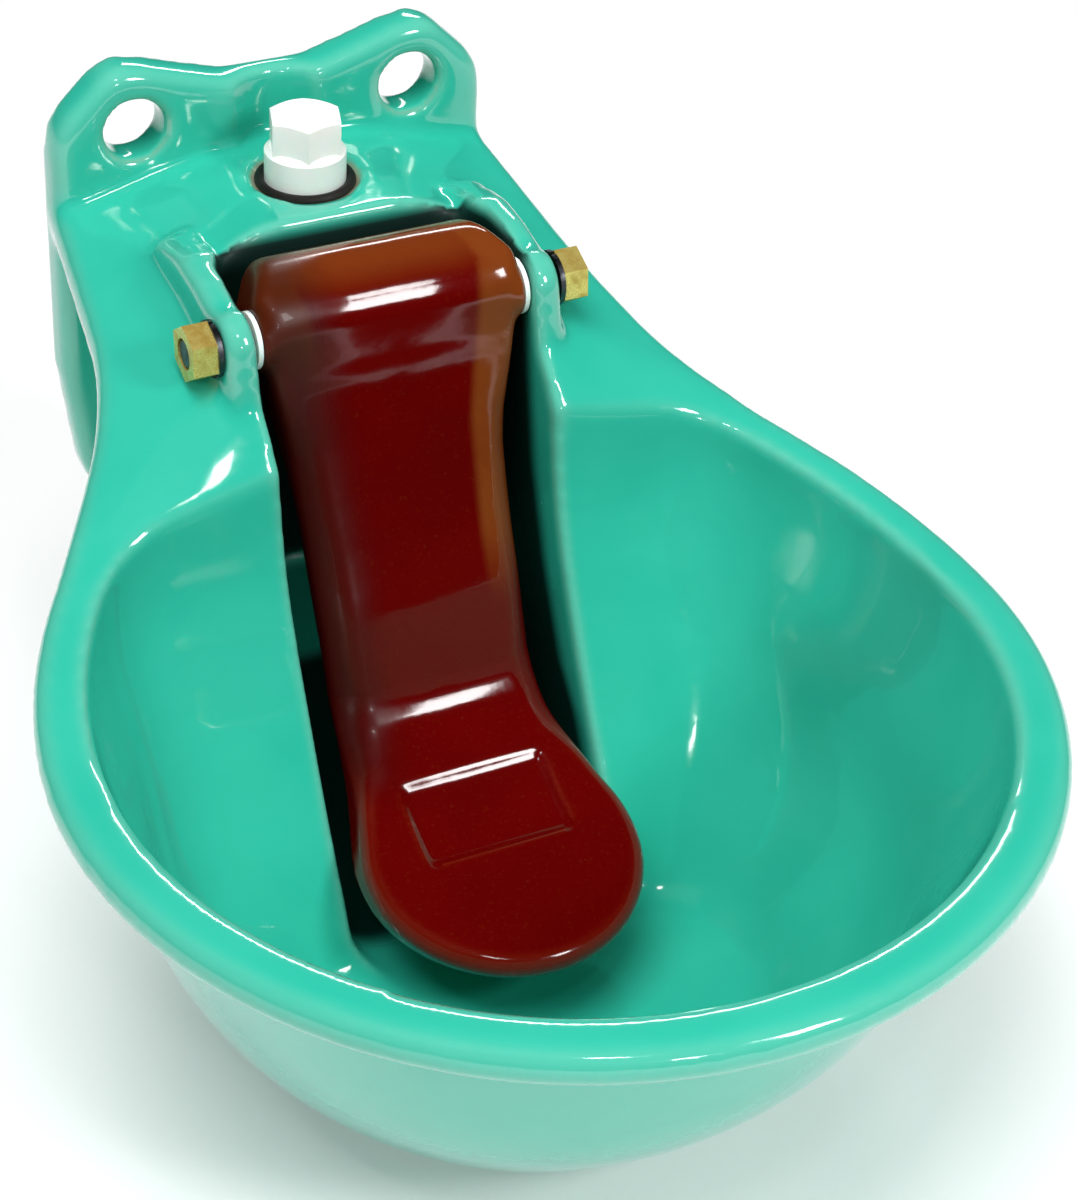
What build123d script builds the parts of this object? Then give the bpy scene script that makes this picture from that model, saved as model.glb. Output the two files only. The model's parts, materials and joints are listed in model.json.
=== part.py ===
"""Livestock drinking bowl: enamelled cast bowl, press tongue and spring-closed inlet valve.

Millimetres, +Z up. The wall is the plane y = 0 and the bowl stands out from it along -Y.
The origin is on the wall, midway between the two wall bolts.
"""
from build123d import *
import os
from math import acos, atan2, cos, hypot, radians, sin, sqrt, tan

# ---------------------------------------------------------------- driving dimensions
# Wall flange
bolt_span = 76.6
bolt_hole_r = 8.25
flange_t = 12.0
flange_half_w = 60.2
ear_top = 16.4
ear_corner_r = 15.0
flange_dip = 9.4
flange_bottom = -122.0
flange_taper = 7.0
flange_corner_r = 30.0
flange_edge_r = 4.0
pipe_groove_r = 15.5
pipe_groove_depth = 5.0

# Rim: a round front, two straight flanks and a neck that runs into the flange
rim_z = -70.0
rim_centre_y = -182.0
rim_r = 121.2
rim_tilt = radians(1.05)
rim_rise = 19.8
rim_t = 9.6
shoulder_t = 13.0
rim_top_r = 4.5
rim_lip_r = 3.6
rim_inner_edge_r = 4.0
neck_x = 68.5
neck_y = -67.7
neck_r = 76.0

# Head: level shelf, sloping wings, cheeks with the pivot lugs
shelf_z = -9.8
shelf_half_w = 21.0
shelf_front_y = -54.0
wing_z = -16.1
wing_fall = 0.297
core_half_w = 44.5
slot_half_w = 37.0
slot_corner_r = 11.0
cheek_outer_x = 45.5
cheek_edge_r = 3.4
pivot_y = -82.3
pivot_z = -23.3
lug_r = 9.5

# Gallery that brings the water, G1/2 top and bottom
gallery_y = -31.3
gallery_bottom = -84.0
thread_r = 10.48
thread_depth = 16.0
chamber_r = 9.0
sink_r = 14.4
sink_depth = 2.6
valve_z = -46.0
valve_bore_r = 11.0

# Basin: height, radius, centre y, back y and corner radius of each plan section
basin_bottom = -178.0
basin_floor = -171.0
outer_sections = [
    (-16, 112, -182.0, -88, 30), (-40, 112, -182.0, -92, 30), (-62, 111.5, -182.0, -97, 30),
    (-82, 109.2, -181.5, -102.5, 30), (-100, 104.8, -180.0, -112, 30), (-120, 98.5, -178.0, -124, 30),
    (-142, 88.2, -176.0, -136, 28), (-160, 75.5, -174.0, -146, 26), (basin_bottom, 55, -172.0, -153, 22)]
inner_sections = [
    (-8, 110.0, -182.0, -96, 28), (-30, 109.4, -182.0, -101.5, 28), (-52, 108.8, -182.0, -106, 28),
    (rim_z, 108.0, -182.0, -109, 28), (-95, 99.8, -180.0, -118, 28), (-120, 92.3, -178.0, -130, 28),
    (-142, 82, -176.0, -142, 26), (-158, 69.5, -174.0, -151, 24), (basin_floor, 54, -173.0, -157, 20)]
outer_foot_r = 12.0
inner_foot_r = 14.0

# Tongue
tongue_tilt = 40.0
tongue_top_z = -50.0
paddle_v = -210.0
paddle_r = 36.7
paddle_reach = 29.4
face_edge_r = 4.0
back_edge_r = 2.5
hub_r = 8.0
hub_bore_r = 5.5
hub_face_x = 35.4
pocket_half_w = 20.0
panel_half_w = 20.0
panel_depth = 1.6

# Pivot, M8
pin_r = 4.0
pivot_hole_r = 4.3
spot_face_r = 8.6
pin_half_l = 53.0
bush_clearance = 0.05
bush_flange_r = 7.3
bush_flange_t = 1.2
nut_flats = 13.0
nut_t = 6.5
nut_turn = 24.0
lock_washer_t = 1.3
lock_washer_r = 7.2

# Plug
plug_thread_r = 10.4
plug_thread_l = 14.0
plug_collar_r = 10.6
plug_collar_h = 7.0
plug_flats = 17.5
plug_h = 17.0
ring_wire_r = 1.25
plug_turn = 12.0
stem_r = 2.5
stem_bore_r = 2.57
stem_tip_y = -80.9
nozzle_r = 4.4
seat_y = -50.0
disc_y = -45.85
cap_y = -38.0
spring_coils = 5
spring_r = 5.0
spring_wire_r = 0.45


# ---------------------------------------------------------------- shared geometry
def flank_tangent():
    """Point where the straight flank from the neck meets the round front."""
    reach = hypot(neck_x, neck_y - rim_centre_y)
    turn = atan2(neck_y - rim_centre_y, neck_x) - acos(rim_r / reach)
    return rim_r * cos(turn), rim_centre_y + rim_r * sin(turn)


flank_x, flank_y = flank_tangent()


def soft_min(a, b, blend):
    """The lower of two heights, with the corner between them rounded."""
    near = max(0.0, blend - abs(a - b)) / blend
    return min(a, b) - near * near * blend / 4


def ramp(t):
    """0 to 1 with level ends."""
    t = min(1.0, max(0.0, t))
    return t * t * (3 - 2 * t)


def half_width(y):
    """Half the plan width at y, without the neck's rounding."""
    if y > neck_y:
        return flange_half_w + (neck_x - flange_half_w) * y / neck_y
    if y > flank_y:
        return neck_x + (flank_x - neck_x) * (y - neck_y) / (flank_y - neck_y)
    return sqrt(max(0.0, rim_r**2 - (y - rim_centre_y) ** 2))


def edge_height(y):
    """Height of the outer edge: level round the front, rising to the wings of the head."""
    ahead = y - rim_centre_y
    climb = max(0.0, ahead / 100)
    rim = rim_z + ahead * tan(rim_tilt) + rim_rise * climb**2 + 97 * max(0.0, climb - 0.85) ** 2
    if climb < 0.7:
        return rim
    return soft_min(rim, wing_z + wing_fall * y, 6.0)


def top_height(x, y):
    """Top surface of the casting: the edge height, climbing inwards over the wings to the shelf."""
    behind = max(y, shelf_front_y - 4)
    slope = (shelf_z - edge_height(behind)) / (half_width(behind) - shelf_half_w)
    slope *= ramp((y + 120) / 38)
    inward = soft_min(half_width(y) - abs(x), half_width(y) - shelf_half_w, 6.0)
    return edge_height(y) + slope * max(-20.0, inward)


def top_surface(thickness=None):
    """The top surface as one smooth face, or the face that lies below it by the rim's thickness."""
    columns = [-130 + 260 * i / 28 for i in range(29)]
    rows = [4 - 312 * j / 40 for j in range(41)]
    grid = []
    for x in columns:
        below = [thickness(y) if thickness else 0.0 for y in rows]
        grid.append([Vector(x, y, top_height(x, y) - drop) for y, drop in zip(rows, below)])
    return Face.make_surface_from_array_of_points(grid, tol=0.1, min_deg=3, max_deg=5)


def band_thickness(y):
    """The rim's depth, growing into the shoulders of the head."""
    return rim_t + (shoulder_t - rim_t) * ramp((y + 130) / 80)


def half_band(y):
    return 0.5 * band_thickness(y)


def basin_outline(height, r, centre_y, back_y, corner_r):
    """Plan of the basin at one height: a round front closed by a straight back."""
    half = sqrt(r * r - (back_y - centre_y) ** 2)
    with BuildSketch(Plane.XY.offset(height)) as outline:
        with BuildLine():
            ThreePointArc((half, back_y), (0, centre_y - r), (-half, back_y))
            Line((-half, back_y), (half, back_y))
        make_face()
        fillet(outline.vertices(), corner_r)
    return outline.sketch


def near(edges, places, reach):
    """Those edges whose middle lies within reach of one of the places."""
    return [e for e in edges if any((e.position_at(0.5) - p).length < reach for p in places)]


def write(part, label):
    """Name a piece and save it."""
    part.label = label
    export_step(part, f"parts/{label}.step")


os.makedirs("parts", exist_ok=True)

# ---------------------------------------------------------------- bowl casting
with BuildSketch() as plan:
    with BuildLine():
        Line((-flange_half_w, 0), (flange_half_w, 0))
        Line((flange_half_w, 0), (neck_x, neck_y))
        Line((neck_x, neck_y), (flank_x, flank_y))
        ThreePointArc((flank_x, flank_y), (0, rim_centre_y - rim_r), (-flank_x, flank_y))
        Line((-flank_x, flank_y), (-neck_x, neck_y))
        Line((-neck_x, neck_y), (-flange_half_w, 0))
    make_face()
    fillet(plan.vertices().filter_by(lambda v: abs(v.Y - neck_y) < 0.1), neck_r)

sky = top_surface()
with BuildPart() as band:
    extrude(to_extrude=top_surface(band_thickness), amount=30, dir=(0, 0, 1))
    with BuildSketch(Plane.XY.offset(-230)):
        add(plan.sketch)
    extrude(amount=290, mode=Mode.INTERSECT)
    extrude(to_extrude=sky, amount=80, dir=(0, 0, 1), mode=Mode.SUBTRACT)
    sides = [e for e in band.edges() if e.position_at(0.5).Y < -2 and (e % 0.5).Z**2 < 0.98]
    depth = {e: top_height(e.position_at(0.5).X, e.position_at(0.5).Y) - e.position_at(0.5).Z for e in sides}
    tops = [e.position_at(0.5) for e in sides if depth[e] < 4]
    lips = [e.position_at(0.5) for e in sides if depth[e] >= 4]
    fillet(near(band.edges(), tops, 0.01), rim_top_r)
    fillet(near(band.edges(), lips, 1.0), rim_lip_r)

with BuildPart() as shell:
    for section in outer_sections:
        add(basin_outline(*section))
    loft()
    extrude(to_extrude=top_surface(half_band), amount=80, dir=(0, 0, 1), mode=Mode.SUBTRACT)
    fillet(shell.faces().sort_by(Axis.Z)[0].edges(), outer_foot_r)

with BuildPart() as core:
    with BuildSketch(Plane.YZ):
        with BuildLine():
            Polyline((0, 0), (0, gallery_bottom), (-47, gallery_bottom), (-48, -112))
            Spline((-48, -112), (-62, -146), (-112, -177), tangents=((0, -1), (-1, -0.1)))
            Polyline((-112, -177), (-150, -177), (-150, -110), (-110, 0), (0, 0))
        make_face()
    extrude(amount=core_half_w, both=True)
    extrude(to_extrude=sky, amount=80, dir=(0, 0, 1), mode=Mode.SUBTRACT)
    keel = [e for e in core.edges() if abs(abs(e.position_at(0.5).X) - core_half_w) < 0.1
            and e.position_at(0.5).Z < -100 and -115 < e.position_at(0.5).Y < -30]
    fillet(keel, 9)

with BuildPart() as flange:
    with BuildSketch(Plane.XZ) as face:
        with BuildLine():
            Polyline((-flange_half_w, rim_z), (-flange_half_w + flange_taper, flange_bottom),
                     (flange_half_w - flange_taper, flange_bottom), (flange_half_w, rim_z),
                     (flange_half_w, 2), (flange_half_w - 16, ear_top + 1), (flange_half_w - 25, ear_top),
                     (12, flange_dip), (-12, flange_dip), (-flange_half_w + 25, ear_top),
                     (-flange_half_w + 16, ear_top + 1), (-flange_half_w, 2), (-flange_half_w, rim_z))
        make_face()
        fillet(face.vertices().filter_by(lambda v: abs(v.Y - 2) < 0.1), 16)
        fillet(face.vertices().filter_by(lambda v: v.Y > ear_top - 0.1), 9)
        fillet(face.vertices().filter_by(lambda v: abs(v.Y - flange_dip) < 0.1), 20)
        fillet(face.vertices().filter_by(lambda v: v.Y < flange_bottom + 1), flange_corner_r)
    extrude(amount=flange_t)
    fillet(flange.faces().sort_by(Axis.Y)[0].edges(), flange_edge_r)

with BuildPart() as cheeks:
    with BuildSketch(Plane.YZ.offset(slot_half_w - 2)):
        with BuildLine():
            Polyline((-40, -60), (-40, -14.5), (-58, -11.0), (-70, -12.3), (-80, -15.0))
            Line((-80, -15.0), (pivot_y, pivot_z + lug_r))
            RadiusArc((pivot_y, pivot_z + lug_r), (pivot_y - lug_r, pivot_z), -lug_r)
            Polyline((pivot_y - lug_r, pivot_z), (-97, -46), (-104, -70), (-104, -90), (-60, -90), (-40, -60))
        make_face()
    extrude(amount=cheek_outer_x - slot_half_w + 2)
    outer = cheeks.faces().sort_by(Axis.X)[-1]
    rounded = [e for e in outer.edges() if e.position_at(0.5).Z > -68 and e.position_at(0.5).Y < -41]
    fillet(rounded, cheek_edge_r)
    mirror(about=Plane.YZ)

with BuildPart() as cavity:
    for section in inner_sections:
        add(basin_outline(*section))
    loft()
    fillet(cavity.faces().sort_by(Axis.Z)[0].edges(), inner_foot_r)

with BuildPart() as slot:
    with BuildSketch(Plane.YZ):
        with BuildLine():
            Polyline((shelf_front_y, 5), (shelf_front_y, -106))
            Spline((shelf_front_y, -106), (-70, -142), (-122, basin_floor), tangents=((0, -1), (-1, 0)))
            Polyline((-122, basin_floor), (-165, basin_floor), (-165, -110), (-112, 5), (shelf_front_y, 5))
        make_face()
    extrude(amount=slot_half_w, both=True)
    corners = [e for e in slot.edges() if abs(abs(e.position_at(0.5).X) - slot_half_w) < 0.1
               and e.position_at(0.5).Y > -110 and e.position_at(0.5).Z < 4]
    fillet(corners, slot_corner_r)

with BuildPart() as bowl:
    add(band.part)
    add(shell.part)
    add(core.part)
    add(flange.part)
    add(cheeks.part)
    add(cavity.part, mode=Mode.SUBTRACT)
    add(slot.part, mode=Mode.SUBTRACT)
    # wall bolt holes
    with BuildSketch(Plane.XZ.offset(-1)):
        with Locations((-bolt_span / 2, 0), (bolt_span / 2, 0)):
            Circle(bolt_hole_r)
    extrude(amount=flange_t + 2, mode=Mode.SUBTRACT)
    # groove in the flange that clears a pipe coming from above
    with BuildSketch(Plane.XY.offset(shelf_z)):
        with Locations((0, -flange_t - pipe_groove_r + pipe_groove_depth)):
            Circle(pipe_groove_r)
    extrude(amount=50, mode=Mode.SUBTRACT)
    # water way: sink, thread, chamber and lower thread on one vertical axis
    with BuildSketch(Plane.XY.offset(shelf_z - sink_depth)):
        with Locations((0, gallery_y)):
            Circle(sink_r)
    extrude(amount=sink_depth + 20, mode=Mode.SUBTRACT)
    with BuildSketch(Plane.XY.offset(shelf_z - sink_depth - thread_depth)):
        with Locations((0, gallery_y)):
            Circle(thread_r)
    extrude(amount=thread_depth + 5, mode=Mode.SUBTRACT)
    with BuildSketch(Plane.XY.offset(gallery_bottom)):
        with Locations((0, gallery_y)):
            Circle(thread_r)
    extrude(amount=thread_depth, mode=Mode.SUBTRACT)
    with BuildSketch(Plane.XY.offset(gallery_bottom)):
        with Locations((0, gallery_y)):
            Circle(chamber_r)
    extrude(amount=shelf_z - gallery_bottom - sink_depth, mode=Mode.SUBTRACT)
    # valve bore and pivot bores
    with BuildSketch(Plane.XZ.offset(-gallery_y)):
        with Locations((0, valve_z)):
            Circle(valve_bore_r)
    extrude(amount=60, mode=Mode.SUBTRACT)
    with BuildSketch(Plane.YZ.offset(-60)):
        with Locations((pivot_y, pivot_z)):
            Circle(pivot_hole_r)
    extrude(amount=120, mode=Mode.SUBTRACT)
    # spot faces under the washers
    for side in (-1, 1):
        with BuildSketch(Plane.YZ.offset(side * cheek_outer_x)):
            with Locations((pivot_y, pivot_z)):
                Circle(spot_face_r)
        extrude(amount=side * 16, mode=Mode.SUBTRACT)
write(bowl.part, "bowl_casting")

# ---------------------------------------------------------------- tongue
with BuildPart() as blank:
    with BuildSketch(Plane.YZ):
        with BuildLine():
            ThreePointArc((-62.5, -13.5), (-71, -8.8), (-80, -9.6))
            ThreePointArc((-80, -9.6), (-87.2, -14.2), (-90.2, -22))
            Spline((-90.2, -22), (-97, -51), (-107, -75.5), (-121.5, -108), tangents=((-0.02, -1), (-0.36, -1)))
            Spline((-121.5, -108), (-133, -121.3), (-148, -131), (-170, -138.9), (-205, -146.6),
                   tangents=((-0.36, -1), (-1, -0.22)))
            Line((-205, -146.6), (-203, -156.5))
            Line((-203, -156.5), (-162, -147))
            Spline((-162, -147), (-130, -133), (-108, -104), tangents=((1, 0.23), (0.36, 1)))
            Spline((-108, -104), (-84, -50), (-76, -32), tangents=((0.36, 1), (0.5, 1)))
            Line((-76, -32), (-62.5, -19))
            Line((-62.5, -19), (-62.5, -13.5))
        make_face()
    extrude(amount=50, both=True)

face_plane = Plane((0, 0, 0), x_dir=(1, 0, 0), z_dir=(0, -cos(radians(tongue_tilt)), sin(radians(tongue_tilt))))
with BuildPart() as tongue:
    with BuildSketch(face_plane.offset(-60)) as outline:
        with BuildLine():
            Line((-27, tongue_top_z + 3), (27, tongue_top_z + 3))
            Line((27, tongue_top_z + 3), (35.3, -63))
            Spline((35.3, -63), (33.4, -80), (29.8, -100), (28.2, -130), (28.2, -166), (30.2, -184), (35, -200),
                   (paddle_r, paddle_v), tangents=((-0.02, -1), (0, -1)))
            EllipticalCenterArc((0, paddle_v), paddle_r, paddle_reach, start_angle=180, arc_size=180)
            Spline((-35.3, -63), (-33.4, -80), (-29.8, -100), (-28.2, -130), (-28.2, -166), (-30.2, -184), (-35, -200),
                   (-paddle_r, paddle_v), tangents=((0.02, -1), (0, -1)))
            Line((-35.3, -63), (-27, tongue_top_z + 3))
        make_face()
        fillet(outline.vertices().group_by(Axis.Y)[-1], 6)
    extrude(amount=300)
    add(blank.part, mode=Mode.INTERSECT)
    faces = [f for f in tongue.faces() if f.normal_at().dot(face_plane.z_dir) > 0.3]
    under = [f for f in tongue.faces() if f.normal_at().dot(face_plane.z_dir) < -0.3]
    sides = [f for f in tongue.faces() if abs(f.normal_at().dot(face_plane.z_dir)) < 0.1 and f.area > 120]
    rims = [e for e in tongue.edges() if any(e in f.edges() for f in faces) and any(e in f.edges() for f in sides)]
    backs = [e for e in tongue.edges() if any(e in f.edges() for f in under) and any(e in f.edges() for f in sides)]
    fillet(rims, face_edge_r)
    # hollow back
    with BuildSketch(Plane.YZ):
        with BuildLine():
            Line((-50, -18.6), (-62, -18.6))
            ThreePointArc((-62, -18.6), (-74, -14.2), (-84.6, -23))
            Spline((-84.6, -23), (-91.4, -51), (-101.2, -76), (-114, -106), tangents=((-0.02, -1), (-0.36, -1)))
            Line((-114, -106), (-119, -116))
            Line((-119, -116), (-105, -119))
            Line((-105, -119), (-50, -18.6))
        make_face()
    extrude(amount=pocket_half_w, both=True, mode=Mode.SUBTRACT)
    # hubs for the pivot
    with BuildSketch(Plane.YZ.offset(pocket_half_w)):
        with Locations((pivot_y, pivot_z)):
            Circle(hub_r)
    extrude(amount=hub_face_x - pocket_half_w)
    with BuildSketch(Plane.YZ.offset(-pocket_half_w)):
        with Locations((pivot_y, pivot_z)):
            Circle(hub_r)
    extrude(amount=pocket_half_w - hub_face_x)
    with BuildSketch(Plane.YZ.offset(-hub_face_x - 2)):
        with Locations((pivot_y, pivot_z)):
            Circle(hub_bore_r)
    extrude(amount=2 * hub_face_x + 4, mode=Mode.SUBTRACT)
    # pad that meets the valve stem
    with BuildSketch(Plane.XZ.offset(81.1)):
        with Locations((0, valve_z)):
            Circle(7)
    extrude(amount=12)
    # recessed rectangular panel
    with BuildSketch(Plane.YZ):
        with BuildLine():
            Line((-138.6, -115), (-139.4, -127.0))
            Spline((-139.4, -127.0), (-149, -133.1), (-160.3, -137.6), tangents=((-1, -0.8), (-1, -0.34)))
            Line((-160.3, -137.6), (-157, -125))
            Line((-157, -125), (-138.6, -115))
        make_face()
    extrude(amount=panel_half_w, both=True, mode=Mode.SUBTRACT)
write(tongue.part, 'tongue')

# ---------------------------------------------------------------- pivot
with BuildPart() as pin:
    with BuildSketch(Plane.YZ.offset(-pin_half_l)):
        with Locations((pivot_y, pivot_z)):
            Circle(pin_r)
    extrude(amount=2 * pin_half_l)
    chamfer(pin.edges().filter_by(GeomType.CIRCLE), 0.8)
write(pin.part, 'pivot_pin')
for side, label in ((-1, 'left'), (1, 'right')):
    with BuildPart() as nut:
        with BuildSketch(Plane.YZ.offset(side * (cheek_outer_x + lock_washer_t))):
            with Locations((pivot_y, pivot_z)):
                RegularPolygon(nut_flats / 2, 6, major_radius=False, rotation=nut_turn)
                Circle(pin_r, mode=Mode.SUBTRACT)
        extrude(amount=side * nut_t)
    write(nut.part, f'pivot_nut_{label}')
    with BuildPart() as washer:
        with BuildSketch(Plane.YZ.offset(side * cheek_outer_x)):
            with Locations((pivot_y, pivot_z)):
                Circle(lock_washer_r)
                Circle(pin_r + 0.1, mode=Mode.SUBTRACT)
            with Locations((pivot_y, pivot_z + lock_washer_r)):
                Rectangle(1.2, 2 * lock_washer_r - 4, mode=Mode.SUBTRACT)
        extrude(amount=side * lock_washer_t)
    write(washer.part, f'lock_washer_{label}')
    with BuildPart() as bush:
        with BuildSketch(Plane.YZ.offset(side * hub_face_x)):
            with Locations((pivot_y, pivot_z)):
                Circle(bush_flange_r)
                Circle(pin_r + bush_clearance, mode=Mode.SUBTRACT)
        extrude(amount=side * bush_flange_t)
        with BuildSketch(Plane.YZ.offset(side * pocket_half_w)):
            with Locations((pivot_y, pivot_z)):
                Circle(hub_bore_r)
                Circle(pin_r + bush_clearance, mode=Mode.SUBTRACT)
        extrude(amount=side * (hub_face_x - pocket_half_w))
    write(bush.part, f'bush_{label}')

# ---------------------------------------------------------------- top plug
sink_z = shelf_z - sink_depth
with BuildPart() as plug:
    with BuildSketch(Plane.XZ):
        with BuildLine():
            Polyline((0, sink_z - plug_thread_l), (plug_thread_r - 1.6, sink_z - plug_thread_l),
                     (plug_thread_r, sink_z - plug_thread_l + 1.6), (plug_thread_r, sink_z), (plug_collar_r, sink_z),
                     (plug_collar_r, shelf_z + plug_collar_h), (plug_collar_r - 1.4, shelf_z + plug_collar_h + 1.4),
                     (0, shelf_z + plug_collar_h + 1.4), (0, sink_z - plug_thread_l))
        make_face()
    revolve(axis=Axis.Z)
    with BuildSketch(Plane.XY.offset(shelf_z)):
        RegularPolygon(plug_flats / 2, 6, major_radius=False, rotation=plug_turn)
    extrude(amount=plug_h)
    with BuildSketch(Plane.XZ):
        with BuildLine():
            Polyline((0, shelf_z - 30), (plug_collar_r + 1, shelf_z - 30), (plug_collar_r + 1, shelf_z + plug_h - 1.2),
                     (plug_collar_r - 2.1, shelf_z + plug_h), (0, shelf_z + plug_h), (0, shelf_z - 30))
        make_face()
    revolve(axis=Axis.Z, mode=Mode.INTERSECT)
write(plug.part.moved(Location((0, gallery_y, 0))), 'top_plug')
with BuildPart() as ring:
    with BuildSketch(Plane.XZ):
        with Locations((plug_collar_r + ring_wire_r + 0.05, sink_z + ring_wire_r)):
            Circle(ring_wire_r)
    revolve(axis=Axis.Z)
write(ring.part.moved(Location((0, gallery_y, 0))), 'plug_o_ring')

# ---------------------------------------------------------------- inlet valve, drawn about the Z axis and laid along Y
laid = Location((0, 0, valve_z), (-90, 0, 0))


def turned(points):
    """A solid of revolution about Z from its half section."""
    with BuildPart() as solid:
        with BuildSketch(Plane.XZ):
            with BuildLine():
                Polyline(*points, points[0])
            make_face()
        revolve(axis=Axis.Z)
    return solid.part


with BuildPart() as body:
    add(turned([(8, -36), (10.9, -36), (10.9, -56), (7, -56), (7, -66), (nozzle_r, -66), (nozzle_r, seat_y), (8, seat_y)]))
    with BuildSketch(Plane.XY.offset(-56)):
        RegularPolygon(12, 6, major_radius=False)
        Circle(7, mode=Mode.SUBTRACT)
    extrude(amount=-7)
write(body.part.moved(laid), 'valve_body')
write(turned([(11.0, -56), (14, -56), (14, -54), (11.0, -54)]).moved(laid), 'body_gasket')
with BuildPart() as nozzle:
    add(turned([(stem_bore_r, -67), (nozzle_r, -67), (nozzle_r, -52), (stem_bore_r, -52)]))
    with BuildSketch(Plane.XY.offset(-68)):
        with PolarLocations(nozzle_r, 4):
            Circle(1.1)
    extrude(amount=20, mode=Mode.SUBTRACT)
write(nozzle.part.moved(laid), 'flow_nozzle')
write(turned([(0, stem_tip_y), (1.8, stem_tip_y), (stem_r, stem_tip_y + 0.7), (stem_r, disc_y), (3.5, disc_y),
              (3.0, disc_y + 1.5), (0, disc_y + 1.5)]).moved(laid), 'valve_stem')
write(turned([(stem_r, disc_y - 4), (6.2, disc_y - 4), (6.2, disc_y - 2), (stem_r, disc_y - 2)]).moved(laid), 'seat_washer')
write(turned([(stem_r, disc_y - 2), (6.5, disc_y - 2), (6.5, disc_y), (stem_r, disc_y)]).moved(laid), 'valve_disc')
spring_l = cap_y - disc_y
with BuildPart() as spring:
    with BuildLine() as coil:
        Helix((spring_l - 2 * spring_wire_r) / spring_coils, spring_l - 2 * spring_wire_r, spring_r)
    with BuildSketch(Plane(coil.line @ 0, z_dir=coil.line % 0)):
        Circle(spring_wire_r)
    sweep()
write(spring.part.moved(Location((0, 0, disc_y + spring_wire_r))).moved(laid), 'return_spring')
with BuildPart() as cap:
    with BuildSketch(Plane.XY.offset(cap_y)):
        Circle(8)
        Circle(2, mode=Mode.SUBTRACT)
        with PolarLocations(5.6, 6):
            Circle(1.4, mode=Mode.SUBTRACT)
    extrude(amount=1.5)
write(cap.part.moved(laid), 'spring_cap')
with BuildPart() as sieve:
    add(turned([(7.0, cap_y + 1.5), (7.9, cap_y + 1.5), (7.9, cap_y + 9), (0, cap_y + 9), (0, cap_y + 8.1), (7.0, cap_y + 8.1)]))
    with BuildSketch(Plane.XY.offset(cap_y + 3)):
        for turn in range(0, 180, 30):
            Rectangle(20, 1.2, rotation=turn)
    extrude(amount=4, mode=Mode.SUBTRACT)
write(sieve.part.moved(laid), 'strainer')
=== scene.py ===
# %% [markdown]
# # A cast drinking bowl for livestock
#
# The solids of the bowl come in as a fixed frame, already in metres and in place. This
# lesson dresses them: it softens the castings as thick enamel would, gives every piece
# a procedural finish, and lights the bowl as a product on a pale table.

# %% Load the frame
import json
import math
import bpy
import numpy as np
from mathutils import Matrix, Vector


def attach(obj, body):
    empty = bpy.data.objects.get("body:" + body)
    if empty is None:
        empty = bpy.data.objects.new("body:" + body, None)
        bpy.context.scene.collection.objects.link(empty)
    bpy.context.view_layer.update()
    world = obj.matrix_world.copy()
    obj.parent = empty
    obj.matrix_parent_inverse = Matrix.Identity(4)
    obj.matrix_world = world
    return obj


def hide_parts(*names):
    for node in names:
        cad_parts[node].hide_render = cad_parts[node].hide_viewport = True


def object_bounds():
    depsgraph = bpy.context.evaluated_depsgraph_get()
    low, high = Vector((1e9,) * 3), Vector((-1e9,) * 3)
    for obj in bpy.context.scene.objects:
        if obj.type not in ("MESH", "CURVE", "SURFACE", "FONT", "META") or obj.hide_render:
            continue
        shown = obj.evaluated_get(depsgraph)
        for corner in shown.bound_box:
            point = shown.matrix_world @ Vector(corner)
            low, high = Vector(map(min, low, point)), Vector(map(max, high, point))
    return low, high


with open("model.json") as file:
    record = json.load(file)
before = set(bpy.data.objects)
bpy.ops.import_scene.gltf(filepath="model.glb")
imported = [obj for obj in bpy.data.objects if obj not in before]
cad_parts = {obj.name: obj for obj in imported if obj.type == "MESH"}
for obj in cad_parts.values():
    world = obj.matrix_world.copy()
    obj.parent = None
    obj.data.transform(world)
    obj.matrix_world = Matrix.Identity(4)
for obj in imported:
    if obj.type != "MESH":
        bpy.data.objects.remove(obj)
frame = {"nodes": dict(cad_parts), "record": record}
nodes = frame["nodes"]
solid_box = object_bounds()
print("pieces:", len(nodes), "box:", [tuple(round(c, 4) for c in corner) for corner in solid_box])

# %% [markdown]
# ## Camera
#
# A camera can be aimed with a constraint, or by its full rotation matrix. This one looks
# down at the bowl's open side and is rolled a few degrees, as if held by hand. A
# constraint cannot roll, so the matrix is built from azimuth, elevation and roll. The
# place is in millimetres and is turned into metres once.

# %% Place the camera
MM = 0.001
azimuth = math.radians(28.399)
elevation = math.radians(35.763)
roll = math.radians(3.278)
camera_place = Vector((-271.0, -671.9, 357.95)) * MM
level_reach = math.cos(elevation)
ahead = Vector((math.sin(azimuth) * level_reach, math.cos(azimuth) * level_reach, -math.sin(elevation)))
level_right = Vector((math.cos(azimuth), -math.sin(azimuth), 0))
level_up = level_right.cross(ahead)
right = math.cos(roll) * level_right + math.sin(roll) * level_up
up = right.cross(ahead)

lens = bpy.data.cameras.new("camera")
lens.lens = 90.45
lens.sensor_width = 36
lens.clip_start = 0.05
lens.clip_end = 20
camera = bpy.data.objects.new("camera", lens)
turn = Matrix((right, up, -ahead)).transposed().to_4x4()
camera.matrix_world = Matrix.Translation(camera_place) @ turn
bpy.context.scene.collection.objects.link(camera)
bpy.context.scene.camera = camera
print("camera at", tuple(round(c, 3) for c in camera.location))

# %% [markdown]
# ## Shader arithmetic
#
# Shader maths is a chain of Math nodes, which is slow to read and to write. A small class
# that wraps one socket lets the same maths be written as a Python expression: each
# operator adds its own Math node. The reflected forms make 1 - mask work as well.

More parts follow.
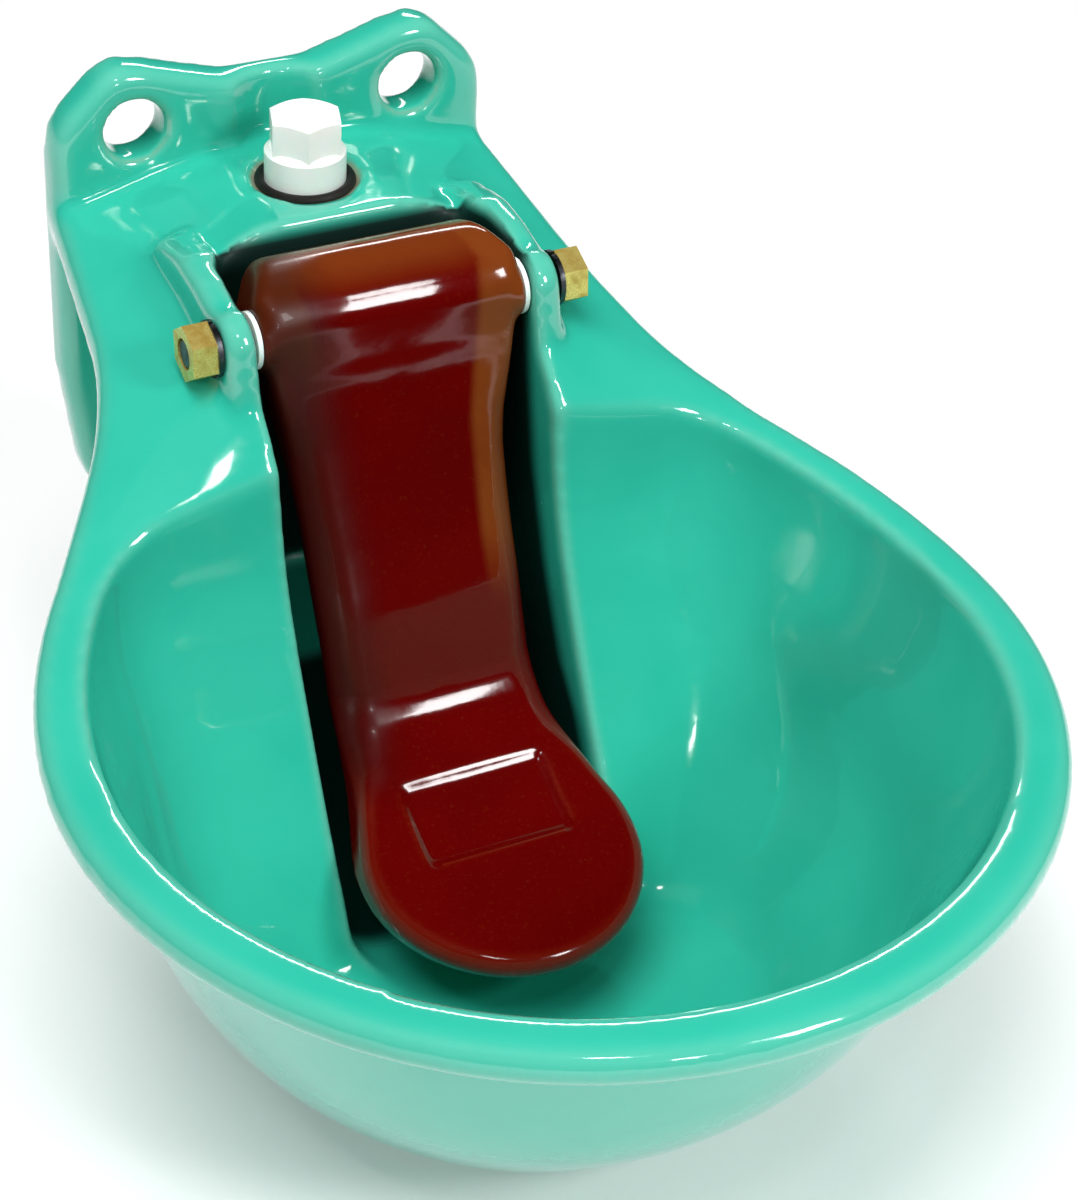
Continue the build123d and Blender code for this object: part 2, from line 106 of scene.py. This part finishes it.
# %% Sockets that can be added and multiplied
class Wire:
    """One output socket; arithmetic on it adds Math nodes."""

    def __init__(self, finish, socket):
        self.finish = finish
        self.socket = socket

    def math(self, operation, first, second):
        return self.finish.node("ShaderNodeMath", {"operation": operation}, {0: first, 1: second})

    def __add__(self, other):
        return self.math("ADD", self, other)

    def __radd__(self, other):
        return self.math("ADD", other, self)

    def __sub__(self, other):
        return self.math("SUBTRACT", self, other)

    def __rsub__(self, other):
        return self.math("SUBTRACT", other, self)

    def __mul__(self, other):
        return self.math("MULTIPLY", self, other)

    def __rmul__(self, other):
        return self.math("MULTIPLY", other, self)

    def clamp(self):
        return self.finish.node("ShaderNodeClamp", {}, {"Value": self})


class Finish:
    """A material with one Principled shader, and one method that adds any other node."""

    def __init__(self, name, **constants):
        self.material = bpy.data.materials.new(name)
        self.material.use_nodes = True
        self.tree = self.material.node_tree
        self.shader = self.tree.nodes["Principled BSDF"]
        for socket, value in constants.items():
            self.shader.inputs[socket.replace("_", " ")].default_value = value

    def feed(self, socket, value):
        if isinstance(value, Wire):
            self.tree.links.new(value.socket, socket)
        else:
            socket.default_value = value

    def node(self, kind, settings=None, sockets=None, output=0):
        made = self.tree.nodes.new(kind)
        for name, value in (settings or {}).items():
            setattr(made, name, value)
        for name, value in (sockets or {}).items():
            self.feed(made.inputs[name], value)
        return Wire(self, made.outputs[output])

    def set(self, name, value):
        self.feed(self.shader.inputs[name], value)

    def place(self):
        return self.node("ShaderNodeTexCoord", {}, {}, output="Object")

    def noise(self, scale, detail=2.0, roughness=0.5):
        return self.node("ShaderNodeTexNoise", {}, {
            "Vector": self.place(), "Scale": scale, "Detail": detail, "Roughness": roughness})

    def attribute(self, name):
        return self.node("ShaderNodeAttribute", {"attribute_name": name}, {}, output="Fac")

    def ramp(self, value, low, high):
        return self.node("ShaderNodeMapRange", {"interpolation_type": "SMOOTHSTEP"}, {
            "Value": value, "From Min": low, "From Max": high, "To Min": 0.0, "To Max": 1.0})

    def mix(self, mask, first, second):
        """One colour over another; a Mix node has its colours at sockets 6 and 7 and gives one at 2."""
        return self.node(
            "ShaderNodeMix", {"data_type": "RGBA"}, {"Factor": mask, 6: first, 7: second}, output=2)

    def bump(self, height, distance, strength=1.0):
        self.set("Normal", self.node("ShaderNodeBump", {}, {
            "Height": height, "Distance": distance, "Strength": strength}))


def rgb(red, green, blue):
    """A colour from sRGB values, as a shader wants it."""
    shares = (red / 255, green / 255, blue / 255)
    linear = [c / 12.92 if c <= 0.04045 else ((c + 0.055) / 1.055) ** 2.4 for c in shares]
    return (*linear, 1.0)


print("one teal in linear light:", tuple(round(c, 3) for c in rgb(60, 192, 168)))

# %% [markdown]
# ## Enamel
#
# Vitreous enamel is coloured glass, melted onto iron. It lies thin on edges, where the
# dark ground coat tints it, and pools in hollows. It could be a plain glossy plastic, but
# then it would look moulded. So the colour moves a little with the curve of the surface,
# a faint grain lies in the red glaze, and a long low bump makes the reflections waver.
# Two numbers stored on each vertex say where the glaze is thin, partly with a painted reflection on the
# tongue, and where shade is painted in.

# %% Enamel finishes
def enamel(name, body, pool, edge, thin, shade_tone, gloss, grain):
    """Coloured glass over iron: body, pooled, on round edges, worn thin, and with painted deep shade."""
    finish = Finish(name, IOR=1.35 + gloss * 0.25, Coat_Roughness=0.02, Coat_IOR=1.5)
    curve = finish.node("ShaderNodeNewGeometry", {}, {}, output="Pointiness")
    in_hollow = finish.ramp(0.5 - curve, 0.004, 0.05)
    on_edge = finish.ramp(curve - 0.5, 0.002, 0.03)
    cloud = finish.noise(24.0, 3.0, 0.55)
    speck = finish.ramp(finish.noise(1300.0, 1.0, 0.5), 0.6, 0.76)
    # On the tongue the thin attribute also carries a painted amber reflection, as well as thin glaze
    worn = finish.attribute("thin") * (0.55 + 0.9 * finish.noise(70.0, 4.0, 0.65)).clamp()
    colour = finish.mix(finish.ramp(cloud, 0.35, 0.7) * 0.4, body, pool)
    colour = finish.mix(in_hollow * 0.5, colour, pool)
    colour = finish.mix(on_edge * 0.8, colour, edge)
    colour = finish.mix(speck * grain, colour, thin)
    colour = finish.mix(worn, colour, thin)
    # Painted shade: the shade attribute darkens the colour to near black, and below it roughens the glaze and
    # takes the coat away
    colour = finish.mix(finish.attribute("shade"), colour, shade_tone)
    finish.set("Base Color", colour)
    finish.set("Roughness", 0.09 + 0.05 * cloud + 0.5 * finish.attribute("shade"))
    finish.set("Coat Weight", gloss - gloss * finish.attribute("shade"))
    finish.bump(finish.noise(38.0, 1.5, 0.4) + finish.noise(300.0, 1.0, 0.5) * 0.05, 0.0006)
    return finish.material


teal = enamel(
    "teal glass", body=rgb(52, 186, 161), pool=rgb(30, 176, 151), edge=rgb(96, 192, 168),
    thin=rgb(150, 150, 124), shade_tone=rgb(0, 1, 1), gloss=0.6, grain=0.0)
oxblood = enamel(
    "oxblood glass", body=rgb(92, 2, 2), pool=rgb(78, 0, 1), edge=rgb(108, 26, 10),
    thin=rgb(124, 62, 22), shade_tone=rgb(6, 0, 0), gloss=0.2, grain=0.1)
print("enamels:", teal.name, oxblood.name)

# %% [markdown]
# ## Soft castings
#
# The solids have crisp, even fillets. Real enamel is dipped and fired, so every edge is
# melted and every inner corner is filled. A subdivision surface would need a clean quad
# cage, while a voxel remesh followed by smoothing gives the same melted look on any shape.

# %% Melt a casting
def melt(node, name, voxel, passes, body, finish):
    """A softened copy of a casting, made of even small squares."""
    piece = bpy.data.objects.new(name, nodes[node].data.copy())
    bpy.context.scene.collection.objects.link(piece)
    weld = piece.modifiers.new("weld", "WELD")
    weld.merge_threshold = 0.00002
    remesh = piece.modifiers.new("remesh", "REMESH")
    remesh.mode = "VOXEL"
    remesh.voxel_size = voxel
    remesh.use_smooth_shade = True
    smooth = piece.modifiers.new("smooth", "SMOOTH")
    smooth.factor = 0.5
    smooth.iterations = passes
    depsgraph = bpy.context.evaluated_depsgraph_get()
    mesh = bpy.data.meshes.new_from_object(piece.evaluated_get(depsgraph))
    piece.modifiers.clear()
    piece.data = mesh
    mesh.materials.clear()
    mesh.materials.append(finish)
    mesh.shade_smooth()
    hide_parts(node)
    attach(piece, body)
    print(name, "faces:", len(mesh.polygons))
    return piece


bowl = melt("bowl_casting", "bowl_enamel", 0.0014, 18, "bowl", teal)
tongue = melt("tongue", "tongue_enamel", 0.0010, 10, "tongue", oxblood)


def points(piece):
    """The vertices of a piece as an array in millimetres."""
    flat = np.zeros(len(piece.data.vertices) * 3)
    piece.data.vertices.foreach_get("co", flat)
    return flat.reshape(-1, 3) / MM


def paint(piece, name, values):
    """Store one number per vertex, from 0 to 1, for a finish to read."""
    layer = piece.data.attributes.new(name, "FLOAT", "POINT")
    layer.data.foreach_set("value", np.clip(values, 0, 1).astype(np.float32))


def smooth_step(values, low, high):
    """0 below low, 1 above high, with soft ends; low may be the larger."""
    t = np.clip((values - low) / (high - low), 0, 1)
    return t * t * (3 - 2 * t)


# %% [markdown]
# ## The tongue's crown
#
# The real tongue is not a flat plate with a rounded edge: its limb is crowned, so its
# sides fall away over about a centimetre. A sculpt would do, but the shape has a rule:
# the nearer to the outline, the further the surface drops behind the front profile. So
# each vertex of the limb is pushed back by the difference between a wide round edge and
# the narrow one it has, and less and less towards the back of the plate. Two more pushes
# widen the bend at the top and sharpen the knee above the panel. They all fade out near
# the hubs, where the bushes sit.
#
# The front profile is given by y and z, and the half width by the distance along the
# tongue's own slope, all in millimetres.

# %% Crown the limb
front = np.array([
    (-62.5, -13.5), (-71, -8.8), (-80, -9.6), (-87.2, -14.2), (-90.2, -22), (-91.9, -35), (-97, -51),
    (-107, -75.5), (-121.5, -108), (-133, -121.3), (-148, -131), (-170, -138.9), (-205, -146.6)])
across = np.array([
    (-239.4, 0), (-232, 24.3), (-222, 33.5), (-210, 36.7), (-200, 35), (-184, 30.2), (-166, 28.2),
    (-130, 28.2), (-100, 29.8), (-80, 33.4), (-63, 35.3), (-54, 32), (-47, 22)])


def foot_on_front(p):
    """Depth behind the front profile, distance along it and its inward direction there."""
    runs = np.diff(front, axis=0)
    lengths = np.hypot(runs[:, 0], runs[:, 1])
    starts = np.concatenate([[0], np.cumsum(lengths)])
    depth = np.full(len(p), 1e9)
    arc = np.zeros(len(p))
    for start, run, length, before in zip(front, runs, lengths, starts):
        t = np.clip(((p[:, 1:] - start) @ run) / length**2, 0, 1)
        gap = p[:, 1:] - (start + t[:, None] * run)
        distance = np.hypot(gap[:, 0], gap[:, 1])
        nearer = distance < depth
        depth[nearer] = distance[nearer]
        arc[nearer] = before + t[nearer] * length
    slope = np.interp(arc, starts[:-1] + lengths / 2, np.arctan2(-runs[:, 0], -runs[:, 1]))
    return depth, arc, np.stack([np.cos(slope), -np.sin(slope)], axis=1)


def round_edge(inside, radius):
    """How far a round edge has fallen at a distance inside the outline."""
    short = np.clip(radius - inside, 0, radius)
    return radius - np.sqrt(radius**2 - short**2)


tongue_slope = math.radians(40)
hinge_y, hinge_z = -82.3, -23.3
wide_edge_r, narrow_edge_r = 9.0, 4.0
crown_r = 260.0
plate_t = 12.0
limb_end, paddle_start = -172, -192
crown_start, crown_full = -68, -88
bend_push, bend_arc = 2.0, 28
knee_push, knee_arc = 1.8, 136

place = points(tongue)
along = place[:, 1] * math.sin(tongue_slope) + place[:, 2] * math.cos(tongue_slope)
inside = np.maximum(np.interp(along, across[:, 0], across[:, 1]) - np.abs(place[:, 0]), 0)
depth, arc, inward = foot_on_front(place)
on_limb = smooth_step(along, paddle_start, limb_end)
crown = round_edge(inside, wide_edge_r) - round_edge(inside, narrow_edge_r) + place[:, 0]**2 / (2 * crown_r)
crown = crown * on_limb * smooth_step(along, crown_start, crown_full)
soft_bend = bend_push * smooth_step(arc, bend_arc - 19, bend_arc) * smooth_step(arc, bend_arc + 20, bend_arc)
sharp_knee = knee_push * smooth_step(arc, knee_arc - 32, knee_arc) * smooth_step(arc, knee_arc + 14, knee_arc)
from_pivot = np.hypot(place[:, 1] - hinge_y, place[:, 2] - hinge_z)
by_hub = smooth_step(np.abs(place[:, 0]), 10, 31) * smooth_step(from_pivot, 42, 14)
fall = (crown + soft_bend + sharp_knee) * np.clip(1 - depth / plate_t, 0, 1) * (1 - by_hub)
place[:, 1:] += inward * fall[:, None]
tongue.data.vertices.foreach_set("co", (place * MM).ravel())
tongue.data.update()

# Thin glaze with a painted amber reflection on the crest and the right edge; painted shade on the left side
glaze_and_sheen_band = smooth_step(inside, 13, 10) * smooth_step(along, -150, -125) * smooth_step(depth, 13, 9)
glaze_and_sheen_band *= np.where(place[:, 0] > 0, 0.8, smooth_step(along, -90, -60) * 0.5)
crest = smooth_step(along, -68, -56) * smooth_step(place[:, 2], -30, -14)
painted_left_shade = 0.55 * smooth_step(place[:, 0], -10, -28) * on_limb
# Painted reflection: the amber band, strong on the right edge and weak on the left, stands partly for a
# reflection
paint(tongue, "thin", np.maximum(glaze_and_sheen_band, crest * 0.6))
# Painted shade: the left of the limb and the plate away from its front face are darkened and lose their gloss
paint(tongue, "shade", np.maximum(smooth_step(depth, 9, 16), painted_left_shade))
print("crown falls by up to", round(float(fall.max()), 1), "mm")

# %% [markdown]
# ## Deep shade and bare rings
#
# The slot behind the tongue lies in deep shade, and that shade is painted in: the enamel there is
# darkened to near black and loses its gloss. The sink round the plug is bare, stained metal, and the
# glaze is thin at the rims of the bolt holes. These places follow from the casting's own dimensions in
# millimetres, so they are worked out for each vertex instead of being painted by hand.

# %% Shade the casting
slot_half_w = 38.5
slot_back_y = -53
shelf_z = -11
plug_y = -31.3
sink_r = 14.8
bolt_x = 38.3
bolt_hole_r = 8.3
flange_face_y = -10
# Height and depth of the slot's open front edge, between the two cheeks
mouth_z = np.array([-160, -130, -119, -95, -70, -46, -28, -10])
mouth_y = np.array([-150, -132, -122, -110, -101, -96, -92, -88])

place = points(bowl)
x, y, z = np.abs(place[:, 0]), place[:, 1], place[:, 2]
slot_floor = -171 + 65 * np.clip((y + 122) / 68, 0, 1) ** 2.8
in_slot = (x < slot_half_w) * (y < slot_back_y) * smooth_step(z, shelf_z, shelf_z - 4)
in_slot = in_slot * smooth_step(z - slot_floor, -5, -3)
# Painted shade: inside the slot, past its open front edge, the enamel is darkened to near black
paint(bowl, "shade", 0.96 * in_slot * smooth_step(y - np.interp(z, mouth_z, mouth_y), 0, 9))
from_plug = np.hypot(x, y - plug_y)
ring = smooth_step(from_plug, sink_r, sink_r - 1) * smooth_step(z, -40, -14)
from_hole_edge = np.abs(np.hypot(x - bolt_x, z) - bolt_hole_r)
rim_of_hole = smooth_step(from_hole_edge, 1.2, 0.3) * smooth_step(y, flange_face_y, flange_face_y - 1.5) * 0.5
paint(bowl, "thin", np.maximum(ring, rim_of_hole))
print("shaded vertices:", int((in_slot > 0.5).sum()))

# %% [markdown]
# ## Small metal and plastic parts
#
# The nuts are drawn brass with faint file marks, the pin is dull steel, and the plug and
# bushes are moulded in a milky nylon. Their solids are right as they are, so they only
# get finishes. The brass is a little less than fully metallic, so that soft light still
# colours it. Each node's slot in the record says which finish it takes.

# %% Metal and plastic finishes
def metal(name, body, tarnish, rough, metallic=1.0):
    """Worked metal: patches of tarnish, fine scratches and uneven gloss."""
    finish = Finish(name, Metallic=metallic)
    patch = finish.ramp(finish.noise(260.0, 4.0, 0.6), 0.4, 0.7)
    scratch = finish.noise(1800.0, 2.0, 0.7)
    finish.set("Base Color", finish.mix(patch, body, tarnish))
    finish.set("Roughness", rough + 0.16 * patch + 0.1 * scratch)
    finish.bump(scratch, 0.0001, 0.35)
    return finish.material


def plastic(name, body, shade, rough):
    """Moulded plastic with a faint cloudiness and fine texture."""
    finish = Finish(name, IOR=1.5, Subsurface_Weight=0.25, Subsurface_Scale=0.004)
    cloud = finish.ramp(finish.noise(180.0, 3.0, 0.5), 0.35, 0.7)
    finish.set("Base Color", finish.mix(cloud * 0.5, body, shade))
    finish.set("Roughness", rough + 0.08 * cloud)
    finish.bump(finish.noise(1500.0, 2.0, 0.6), 0.0001, 0.3)
    return finish.material


finishes = {
    "brass": metal("brass", rgb(236, 214, 122), rgb(206, 172, 80), 0.22, 0.6),
    "steel": metal("steel", rgb(96, 98, 102), rgb(58, 58, 62), 0.34),
    "stainless": metal("stainless", rgb(196, 198, 200), rgb(150, 152, 156), 0.2),
    "white_plastic": plastic("white_plastic", rgb(250, 255, 249), rgb(238, 254, 242), 0.3),
    "rubber": plastic("rubber", rgb(34, 30, 28), rgb(22, 20, 19), 0.6),
}
for entry in frame["record"]["subparts"]:
    if entry["material_slot"] in finishes:
        mesh = nodes[entry["node"]].data
        mesh.materials.clear()
        mesh.materials.append(finishes[entry["material_slot"]])
        print(entry["node"], "->", entry["material_slot"])

# %% [markdown]
# ## Table and light
#
# A white table and a few lamps are enough. Glossy enamel shows the room as well as the
# lamps, and a bright room would grey the deep red, so the even fill comes from a large
# lamp and a sky that reflections do not see, and the table ends not far in front of the
# bowl. Four crisp boxes then draw the sharp highlights along the rim and the flange, on
# the bend of the tongue and in the basin.

# %% Table, world and lamps
floor_mesh = bpy.data.meshes.new("table")
reach = 6.0
near_edge = -1.0
level = solid_box[0].z - 0.0005
corners = [
    (-reach, near_edge, level), (reach, near_edge, level), (reach, reach, level), (-reach, reach, level)]
floor_mesh.from_pydata(corners, [], [(0, 1, 2, 3)])
table = bpy.data.objects.new("table", floor_mesh)
bpy.context.scene.collection.objects.link(table)
table_finish = Finish("table", Roughness=0.8, Emission_Color=(1, 1, 1, 1), Emission_Strength=0.2)
table_tone = table_finish.mix(table_finish.noise(3.0) * 0.1, rgb(236, 236, 236), rgb(228, 228, 228))
table_finish.set("Base Color", table_tone)
floor_mesh.materials.append(table_finish.material)

world = bpy.data.worlds.new("studio")
bpy.context.scene.world = world
world.use_nodes = True
world.node_tree.nodes["Background"].inputs["Color"].default_value = (1, 1, 1, 1)
world.node_tree.nodes["Background"].inputs["Strength"].default_value = 0.15
world.cycles_visibility.glossy = False
bpy.context.scene.view_settings.view_transform = "Standard"

lamp_target = Vector((0, -0.15, -0.06))


def softbox(name, azimuth, elevation, distance, width, height, power, crisp=True):
    """An area lamp aimed at the bowl, in metres and watts; azimuth 0 is in front and 90 on the right."""
    lamp = bpy.data.lights.new(name, "AREA")
    lamp.shape = "RECTANGLE"
    lamp.size = width
    lamp.size_y = height
    lamp.energy = power
    holder = bpy.data.objects.new(name, lamp)
    a, e = math.radians(azimuth), math.radians(elevation)
    away = Vector((math.sin(a) * math.cos(e), -math.cos(a) * math.cos(e), math.sin(e)))
    holder.location = lamp_target + away * distance
    holder.rotation_euler = (-away).to_track_quat("-Z", "Y").to_euler()
    holder.visible_glossy = crisp
    bpy.context.scene.collection.objects.link(holder)
    print(name, "at", [round(c, 2) for c in holder.location])


softbox("fill", -60, 72, 1.6, 1.0, 1.0, 26, crisp=False)
softbox("window", 27.5, 35, 1.5, 0.25, 0.4, 9)
softbox("front", 0, 23, 1.5, 0.12, 0.12, 1.4)
softbox("high", -8, 58, 1.5, 0.14, 0.14, 1.5)
softbox("back", 150, 30, 1.5, 0.5, 0.12, 3)
